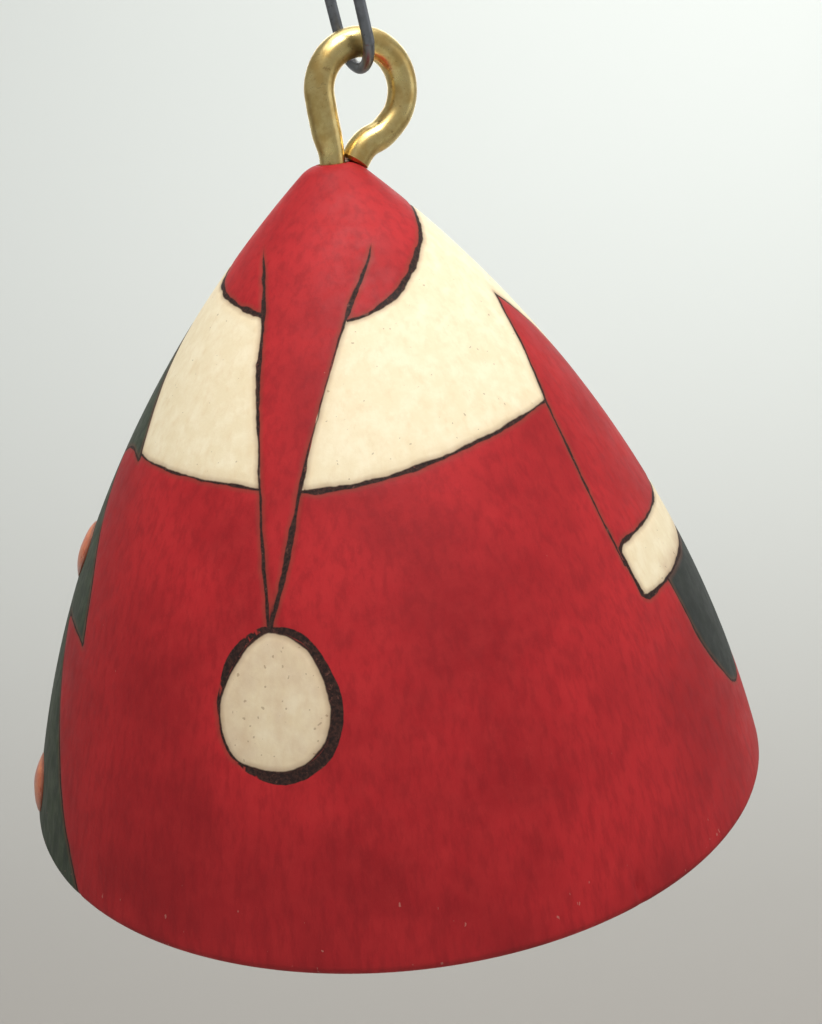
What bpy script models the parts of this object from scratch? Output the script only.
"""Wooden christmas bell ornament with its hook, screw eye and clapper.

The origin is the top inside of the hook's crook, where the ornament hangs.
+Z is up, and the figure that is painted on the bell faces -Y.

The screw eye's ring stands off the bell's axis, so the bell hangs a few
degrees out of plumb, while the hook, the link and the clapper hang straight.
The bell's pieces are built in the bell's own frame: z = 0 is the rim's plane,
z runs up the bell's axis, and x runs along the plane of the ring.
"""

import math

import bmesh
import bpy
from mathutils import Matrix, Vector

MM = 0.001
GAP = 0.3 * MM  # clearance between pieces that touch

# The turned wooden bell
BELL_H = 48 * MM
RIM_R = 29.95 * MM
SIDE_R = 90 * MM  # radius of the one arc that the side follows
SHOULDER_R = 3.7 * MM  # radius of the bell just under the crown
SHOULDER_DROP = 1.4 * MM
CROWN_ROUND = 1.6 * MM
RIM_ROUND = 0.7 * MM
RIM_CHAMFER = 0.4 * MM
WALL = 3.8 * MM
CEILING_H = 30 * MM  # top of the hollow
CEILING_ROUND = 5 * MM
BELL_STEPS = 64

# The brass screw eye in the crown
EYE_WIRE_R = 1.1 * MM
EYE_NECK_R = 0.95 * MM
EYE_RING_R = 3.37 * MM  # to the middle of the wire
EYE_CENTRE = (2.9 * MM, 5.25 * MM)  # from where the neck leaves the crown
EYE_SHANK = 10 * MM
EYE_THREAD = (0.72 * MM, 0.33 * MM, 1.25 * MM)  # core radius, crest, pitch

# The small screw eyes that carry the clapper
SMALL_WIRE_R = 0.5 * MM
SMALL_RING_R = 1.9 * MM
SMALL_CENTRE = (0.0, 2.9 * MM)
SMALL_SHANK = 5.5 * MM
SMALL_THREAD = (0.36 * MM, 0.17 * MM, 0.85 * MM)

# The clapper and its link
LINK_WIRE_R = 0.4 * MM
LINK_LOOP_R = 1.5 * MM
LINK_SPAN = 7.4 * MM  # from loop centre to loop centre
BALL_R = 6 * MM
BALL_FLAT_R = 1.5 * MM

# The wire hook
HOOK_WIRE_R = 0.42 * MM
HOOK_DROP = 42 * MM  # from the top inside of the crook to the small bend
HOOK_BEND_R = 2.3 * MM  # small bend, through the ring
HOOK_CROOK_R = 7 * MM  # large bend, over the branch
HOOK_SHORT_LEG = 13 * MM
HOOK_CROOK_TAIL = 7 * MM
HOOK_LEAN = math.radians(14)  # how far the legs lean where they leave the ring

# How the pieces are turned
RING_TURN = math.radians(223)  # direction of the ring's plane, from +X
FRONT_TURN = math.radians(47)  # the figure's front in the bell's frame, from +x
HANG_TILT = math.radians(5.1)  # the bell's lean under its off-centre ring

# Beads on the painted tree: degrees round from the figure's front to its
# left side, and height up the bell
BEADS = (
    (121, 3.4 * MM),
    (112, 21 * MM),
    (88, 32 * MM),
    (72, 22 * MM),
    (92, 11.5 * MM),
    (60, 5.5 * MM),
)
BEAD_R = 2.3 * MM
BEAD_RISE = 0.6 * MM

PAINT_RED = (0.42, 0.02, 0.025)
PAINT_ORANGE = (0.50, 0.13, 0.035)
BRASS = (0.62, 0.42, 0.16)
STEEL = (0.30, 0.31, 0.33)
BARE_WOOD = (0.60, 0.42, 0.25)


def clear_scene():
    for obj in list(bpy.data.objects):
        bpy.data.objects.remove(obj, do_unlink=True)


def collection(name):
    made = bpy.data.collections.new(name)
    bpy.context.scene.collection.children.link(made)
    return made


def material(name, colour, roughness, metallic=0.0):
    mat = bpy.data.materials.new(name)
    mat.use_nodes = True
    shader = mat.node_tree.nodes["Principled BSDF"]
    shader.inputs["Base Color"].default_value = (*colour, 1)
    shader.inputs["Roughness"].default_value = roughness
    shader.inputs["Metallic"].default_value = metallic
    return mat


def add_object(name, data, home, mat=None):
    obj = bpy.data.objects.new(name, data)
    home.objects.link(obj)
    if mat:
        data.materials.append(mat)
    return obj


def pivot(name, matrix, home):
    """An empty on a joint's axis, which the moving pieces hang from."""
    empty = add_object(name, None, home)
    empty.empty_display_size = 5 * MM
    empty.matrix_world = matrix
    return empty


def hang(obj, parent, world):
    """Puts an object at a world matrix as a child of its joint's empty."""
    obj.parent = parent
    obj.matrix_parent_inverse = parent.matrix_world.inverted()
    obj.matrix_basis = world
    return obj


# Outlines


def arc(centre, radius, start, end, count):
    """Points on an arc, from one angle to another, both ends included."""
    turns = (start + (end - start) * i / count for i in range(count + 1))
    return [(centre[0] + radius * math.cos(a), centre[1] + radius * math.sin(a)) for a in turns]


def arc_centre(low, high, radius):
    """Centre of the arc that bulges outwards between two points of a profile."""
    middle = Vector(low).lerp(Vector(high), 0.5)
    chord = Vector(high) - Vector(low)
    inwards = Vector((-chord.y, chord.x)).normalized()
    return middle + inwards * math.sqrt(radius**2 - (chord.length / 2) ** 2)


def tangent_centre(side_centre, side_r, height, round_r):
    """Centre of a rounding that touches the side's arc from inside at a height."""
    reach = side_r - round_r
    return (side_centre[0] + math.sqrt(reach**2 - (height - side_centre[1]) ** 2), height)


def angle_from(centre, point):
    return math.atan2(point[1] - centre[1], point[0] - centre[0])


def side_centre():
    return arc_centre((RIM_R, 0.5 * MM), (SHOULDER_R, BELL_H - SHOULDER_DROP), SIDE_R)


def side_radius(height):
    """Radius of the bell's outside at a height."""
    centre = side_centre()
    return centre[0] + math.sqrt(SIDE_R**2 - (height - centre[1]) ** 2)


def side_slope(height):
    """How far the outside leans in from upright at a height, as an angle."""
    return math.asin((height - side_centre()[1]) / SIDE_R)


def smooth_path(knots, parts):
    """Points on a smooth curve through the knots, with parts pieces between each two."""
    knots = [Vector(k) for k in knots]
    ends = [2 * knots[0] - knots[1], *knots, 2 * knots[-1] - knots[-2]]
    points = []
    for before, a, b, after in zip(ends, ends[1:], ends[2:], ends[3:]):
        for i in range(parts):
            t = i / parts
            points.append(
                0.5
                * (
                    2 * a
                    + (b - before) * t
                    + (2 * before - 5 * a + 4 * b - after) * t**2
                    + (3 * a - 3 * b + after - before) * t**3
                )
            )
    return points + [knots[-1]]


# Ways to make a shape


def turned(name, profile, steps, home, mat=None):
    """A solid of revolution about Z from a profile of (radius, height) points."""
    mesh = bpy.data.meshes.new(name)
    points = [(r, 0, z) for r, z in profile]
    mesh.from_pydata(points, [(i, i + 1) for i in range(len(points) - 1)], [])
    obj = add_object(name, mesh, home, mat)
    screw = obj.modifiers.new("Turn", "SCREW")
    screw.axis = "Z"
    screw.steps = screw.render_steps = steps
    screw.use_merge_vertices = True
    screw.merge_threshold = 0.00001
    screw.use_smooth_shade = True
    return obj


def wire(name, points, radius, home, mat=None, resolution=2, thickness=None):
    """A round wire along points, with a thickness factor at each point if given."""
    curve = bpy.data.curves.new(name, "CURVE")
    curve.dimensions = "3D"
    curve.bevel_depth = radius
    curve.bevel_resolution = resolution
    curve.use_fill_caps = True
    spline = curve.splines.new("POLY")
    spline.points.add(len(points) - 1)
    for i, (p, place) in enumerate(zip(spline.points, points)):
        p.co = (*place, 1)
        p.radius = thickness[i] if thickness else 1
    return add_object(name, curve, home, mat)


def as_mesh(obj, home, mat):
    """Turns a curve or a modified object into a plain closed mesh of the same name."""
    name = obj.name
    bpy.context.view_layer.update()
    evaluated = obj.evaluated_get(bpy.context.evaluated_depsgraph_get())
    mesh = bpy.data.meshes.new_from_object(evaluated)
    bm = bmesh.new()
    bm.from_mesh(mesh)
    bmesh.ops.remove_doubles(bm, verts=bm.verts, dist=0.000001)
    bm.to_mesh(mesh)
    bm.free()
    bpy.data.objects.remove(obj, do_unlink=True)
    mesh.materials.clear()
    mesh.name = name
    mesh.shade_smooth()
    mesh.set_sharp_from_angle(angle=math.radians(40))
    return add_object(name, mesh, home, mat)


def thread_height(turn):
    """Height of a V thread across one turn, from 0 at the root to 1 at the crest."""
    return max(0.0, 1 - 3 * abs(turn - math.floor(turn) - 0.5))


def screw_shank(name, length, thread, neck, home):
    """A threaded shank down from z = 0 that ends in a gimlet point."""
    core, crest, pitch = thread
    point = 2 * pitch
    rings = round(length / pitch * 5)
    heights = [neck - (neck + length) * i / rings for i in range(rings)]
    profile = [(0, neck)] + [(core * min(1, (z + length) / point + 0.15), z) for z in heights]
    shank = as_mesh(turned(name, profile + [(0, -length)], 12, home), home, None)
    for vertex in shank.data.vertices:
        x, y, z = vertex.co
        fade = min(1, max(0, -z / pitch - 0.6)) * min(1, (z + length) / point)
        radius = math.hypot(x, y)
        if radius > 0 and fade > 0:
            lift = crest * fade * thread_height(z / pitch - math.atan2(y, x) / math.tau)
            vertex.co = (x * (1 + lift / radius), y * (1 + lift / radius), z)
    return shank


def eye_knots(centre, ring_r, start, end, lead, tail, parts=9):
    """Middle line of an eye in the xz plane: up the lead, clockwise round the ring, tail."""
    ring = arc(centre, ring_r, math.radians(start), math.radians(end), parts)
    return [(x, 0, z) for x, z in (*lead, *ring, *tail)]


def small_eye_knots(centre_h, ring_r, foot):
    """An eye whose ring is centred over its straight stem, which starts at foot."""
    lead = [(0, foot), (0, centre_h - 1.75 * ring_r), (-0.3 * ring_r, centre_h - 1.22 * ring_r)]
    return eye_knots((0, centre_h), ring_r, 212, -55, lead, [])


def screw_eye(name, knots, wire_r, shank, thread, matrix, parent, home, tools, mat, neck=None):
    """A wire eye joined to its threaded shank, with the neck's thickness factor if thinner."""
    points = smooth_path(knots, 4)
    thick = [1 if p.z > 1.6 * wire_r or p.x > wire_r else neck for p in points] if neck else None
    eye = as_mesh(wire(name, points, wire_r, home, None, 3, thick), home, mat)
    screw = screw_shank(name + "_shank", shank, thread, 0.4 * wire_r, tools)
    screw.hide_render = True
    screw.display_type = "WIRE"
    for obj in (eye, screw):
        hang(obj, parent, matrix)
    union = eye.modifiers.new("Shank", "BOOLEAN")
    union.operation = "UNION"
    union.object = screw
    return eye


# Where things are

HINGE = Vector((0, 0, -HOOK_DROP))
RING_PLANE = Matrix.Rotation(RING_TURN, 4, "Z")


def eye_hinge():
    """The point of the bell's frame that the bell swings about: the hook wire's middle."""
    up = EYE_RING_R - EYE_WIRE_R - GAP - HOOK_WIRE_R
    x, z = EYE_CENTRE
    return Vector((x + up * math.sin(HANG_TILT), 0, BELL_H + z + up * math.cos(HANG_TILT)))


def bell_frame():
    tilt = Matrix.Rotation(-HANG_TILT, 4, "Y")
    return Matrix.Translation(HINGE) @ RING_PLANE @ tilt @ Matrix.Translation(-eye_hinge())


def link_frame():
    """Plumb frame at the lowest point of the inner eye, which the link swings about."""
    low = Vector((0, 0, CEILING_H - SMALL_CENTRE[1] - SMALL_RING_R))
    return Matrix.Translation(bell_frame() @ low) @ RING_PLANE


def clapper_frame():
    """Plumb frame at the lowest point of the link, which the clapper swings about."""
    rest = SMALL_WIRE_R + GAP + LINK_WIRE_R
    drop = rest - 2 * LINK_LOOP_R - LINK_SPAN
    return link_frame() @ Matrix.Translation((0, 0, drop))


# The pieces


def hook_points():
    """Middle line of the hook: short leg, small bend, long leg, crook, tail."""
    crook_h = HOOK_DROP + HOOK_WIRE_R - HOOK_CROOK_R
    flare = 0.35 * MM
    short = [(-HOOK_BEND_R - flare, HOOK_SHORT_LEG), (-HOOK_BEND_R, 0.6 * HOOK_SHORT_LEG)]
    bend = arc((0, HOOK_BEND_R), HOOK_BEND_R, math.pi, math.tau, 10)
    rise = crook_h - HOOK_BEND_R
    long = [
        (HOOK_BEND_R + (HOOK_CROOK_R - HOOK_BEND_R) * (3 * t**2 - 2 * t**3), HOOK_BEND_R + rise * t)
        for t in (0.2, 0.35, 0.5, 0.65, 0.8, 0.9)
    ]
    crook = arc((0, crook_h), HOOK_CROOK_R, 0, math.pi, 18)
    tail = [(-HOOK_CROOK_R - flare, crook_h - HOOK_CROOK_TAIL)]
    knots = [(0, y, z) for y, z in short + bend + long + crook + tail]
    return [bowed(p) for p in smooth_path(knots, 2)]


def bowed(point):
    """Bows the hook sideways, so its legs lean at the ring and end up plumb over it."""
    bow = HOOK_DROP * math.tan(HOOK_LEAN) / math.pi
    span = min(max(point.z / HOOK_DROP, 0), 1)
    return Vector((-bow * math.sin(math.pi * span), point.y, point.z - HOOK_DROP))


def make_hook(home, mat):
    hook = as_mesh(wire("hanger_hook", hook_points(), HOOK_WIRE_R, home), home, mat)
    hook.matrix_world = RING_PLANE
    return hook


def bell_profile():
    """Half section of the bell, from the eye's pilot hole over the outside to the hollow."""
    side = side_centre()
    crown = tangent_centre(side, SIDE_R, BELL_H - CROWN_ROUND, CROWN_ROUND)
    rim = tangent_centre(side, SIDE_R, RIM_ROUND, RIM_ROUND)
    inner_r = SIDE_R - WALL
    corner = tangent_centre(side, inner_r, CEILING_H - CEILING_ROUND, CEILING_ROUND)
    hole_r = max(EYE_THREAD[0] + EYE_THREAD[1], EYE_NECK_R) + GAP
    small_hole_r = max(SMALL_THREAD[0] + SMALL_THREAD[1], SMALL_WIRE_R) + GAP
    bore_start = BELL_H - EYE_SHANK - 2 * GAP
    low_bore = CEILING_H + SMALL_SHANK + 2 * GAP
    inner_rim = (side[0] + math.sqrt(inner_r**2 - (side[1] - RIM_CHAMFER) ** 2), RIM_CHAMFER)
    top_side = arc(crown, CROWN_ROUND, math.pi / 2, angle_from(side, crown), 4)
    outside = arc(side, SIDE_R, angle_from(side, crown), angle_from(side, rim), 14)
    bottom = arc(rim, RIM_ROUND, angle_from(side, rim), -math.pi / 2, 3)
    inside = arc(side, inner_r, angle_from(side, inner_rim), angle_from(side, corner), 8)
    top_inside = arc(corner, CEILING_ROUND, angle_from(side, corner), math.pi / 2, 4)
    return [
        (0, bore_start),
        (hole_r, bore_start + hole_r / 2),
        (hole_r, BELL_H),
        *top_side,
        *outside[1:],
        *bottom[1:],
        (inner_rim[0] + RIM_CHAMFER, 0),
        *inside,
        *top_inside[1:],
        (small_hole_r, CEILING_H),
        (small_hole_r, low_bore - small_hole_r / 2),
        (0, low_bore),
    ]


def make_bell(parent, home, mat):
    bell = as_mesh(turned("bell_body", bell_profile(), BELL_STEPS, home), home, mat)
    return hang(bell, parent, bell_frame())


def make_crown_eye(parent, home, tools, mat):
    x, z = EYE_CENTRE
    lead = [(0, -0.5 * MM), (0, 0.6 * MM), (-0.05 * MM, 1.5 * MM), (-0.27 * MM, 3 * MM)]
    tail = [(4.25 * MM, 2.05 * MM), (3.1 * MM, 1.6 * MM), (2.5 * MM, 1.3 * MM), (2.0 * MM, 0.92 * MM)]
    knots = eye_knots((x, z), EYE_RING_R, 190, -40, lead, tail)
    place = bell_frame() @ Matrix.Translation((0, 0, BELL_H))
    neck = EYE_NECK_R / EYE_WIRE_R
    name = "screw_eye"
    return screw_eye(
        name, knots, EYE_WIRE_R, EYE_SHANK, EYE_THREAD, place, parent, home, tools, mat, neck
    )


def make_small_eye(name, place, parent, home, tools, mat):
    knots = small_eye_knots(SMALL_CENTRE[1], SMALL_RING_R, -0.5 * MM)
    shank = (SMALL_WIRE_R, SMALL_SHANK, SMALL_THREAD)
    return screw_eye(name, knots, *shank, place, parent, home, tools, mat)


def make_inner_eye(parent, home, tools, mat):
    """The eye under the hollow's ceiling: upside down, with its ring across the link."""
    over = Matrix.Rotation(math.pi, 4, "X") @ Matrix.Rotation(math.pi / 2, 4, "Z")
    place = bell_frame() @ Matrix.Translation((0, 0, CEILING_H)) @ over
    return make_small_eye("inner_eye", place, parent, home, tools, mat)


def make_link(parent, home, mat):
    """A wire link with an eye at each end, which hangs from the inner eye."""
    half = small_eye_knots(LINK_SPAN / 2, LINK_LOOP_R, 0)
    turned_half = [(-x, y, -z) for x, y, z in half]
    points = smooth_path([*reversed(half), *turned_half[1:]], 3)
    link = as_mesh(wire("clapper_link", points, LINK_WIRE_R, home), home, mat)
    top = SMALL_WIRE_R + GAP + LINK_WIRE_R - LINK_LOOP_R
    middle = Matrix.Translation((0, 0, top - LINK_SPAN / 2))
    return hang(link, parent, link_frame() @ middle)


def ball_top():
    """Height of the ball's flat top, from the point that the clapper swings about."""
    return SMALL_WIRE_R + GAP + LINK_WIRE_R - SMALL_RING_R - SMALL_CENTRE[1]


def make_clapper_ball(parent, home, mat):
    hole_r = max(SMALL_THREAD[0] + SMALL_THREAD[1], SMALL_WIRE_R) + GAP
    depth = SMALL_SHANK + 2 * GAP
    flat = math.asin(BALL_FLAT_R / BALL_R)
    drop = BALL_R * math.cos(flat)
    ball = arc((0, -drop), BALL_R, math.pi / 2 - flat, -math.pi / 2, 14)
    ball[-1] = (0, -drop - BALL_R)
    profile = [(0, -depth), (hole_r, hole_r / 2 - depth), (hole_r, 0), *ball]
    made = as_mesh(turned("clapper_ball", profile, 32, home), home, mat)
    place = clapper_frame() @ Matrix.Translation((0, 0, ball_top()))
    return hang(made, parent, place)


def make_clapper_eye(parent, home, tools, mat):
    across = Matrix.Rotation(math.pi / 2, 4, "Z")
    place = clapper_frame() @ Matrix.Translation((0, 0, ball_top())) @ across
    return make_small_eye("clapper_eye", place, parent, home, tools, mat)


def make_bead(number, turn, height, parent, home, mat):
    """A low round bead on the bell's outside."""
    dome_r = (BEAD_R**2 + BEAD_RISE**2) / (2 * BEAD_RISE)
    edge = math.asin(BEAD_R / dome_r)
    dome = arc((0, BEAD_RISE - dome_r), dome_r, math.pi / 2, math.pi / 2 - edge, 5)
    dome[0] = (0, BEAD_RISE)
    bead = as_mesh(turned(f"tree_bead_{number}", dome + [(0, 0)], 20, home), home, mat)
    lean = Matrix.Rotation(math.pi / 2 - side_slope(height), 4, "Y")
    around = Matrix.Rotation(FRONT_TURN + math.radians(turn), 4, "Z")
    seat = Matrix.Translation((side_radius(height), 0, height))
    lift = Matrix.Translation((0, 0, GAP))
    return hang(bead, parent, bell_frame() @ around @ seat @ lean @ lift)


def main():
    clear_scene()
    parts = collection("christmas_bell_ornament")
    tools = collection("cutters")
    brass = material("brass", BRASS, 0.32, 1.0)
    steel = material("steel_wire", STEEL, 0.4, 1.0)
    red = material("painted_wood", PAINT_RED, 0.6)
    orange = material("bead_paint", PAINT_ORANGE, 0.5)
    wood = material("bare_wood", BARE_WOOD, 0.6)

    bell_pivot = pivot("bell_pivot", Matrix.Translation(HINGE) @ RING_PLANE, parts)
    link_pivot = pivot("link_pivot", link_frame(), parts)
    clapper_pivot = pivot("clapper_pivot", clapper_frame(), parts)

    make_hook(parts, steel)
    make_crown_eye(bell_pivot, parts, tools, brass)
    make_bell(bell_pivot, parts, red)
    make_inner_eye(bell_pivot, parts, tools, brass)
    for i, (turn, height) in enumerate(BEADS):
        make_bead(i + 1, turn, height, bell_pivot, parts, orange)
    make_link(link_pivot, parts, steel)
    make_clapper_eye(clapper_pivot, parts, tools, brass)
    make_clapper_ball(clapper_pivot, parts, wood)


main()
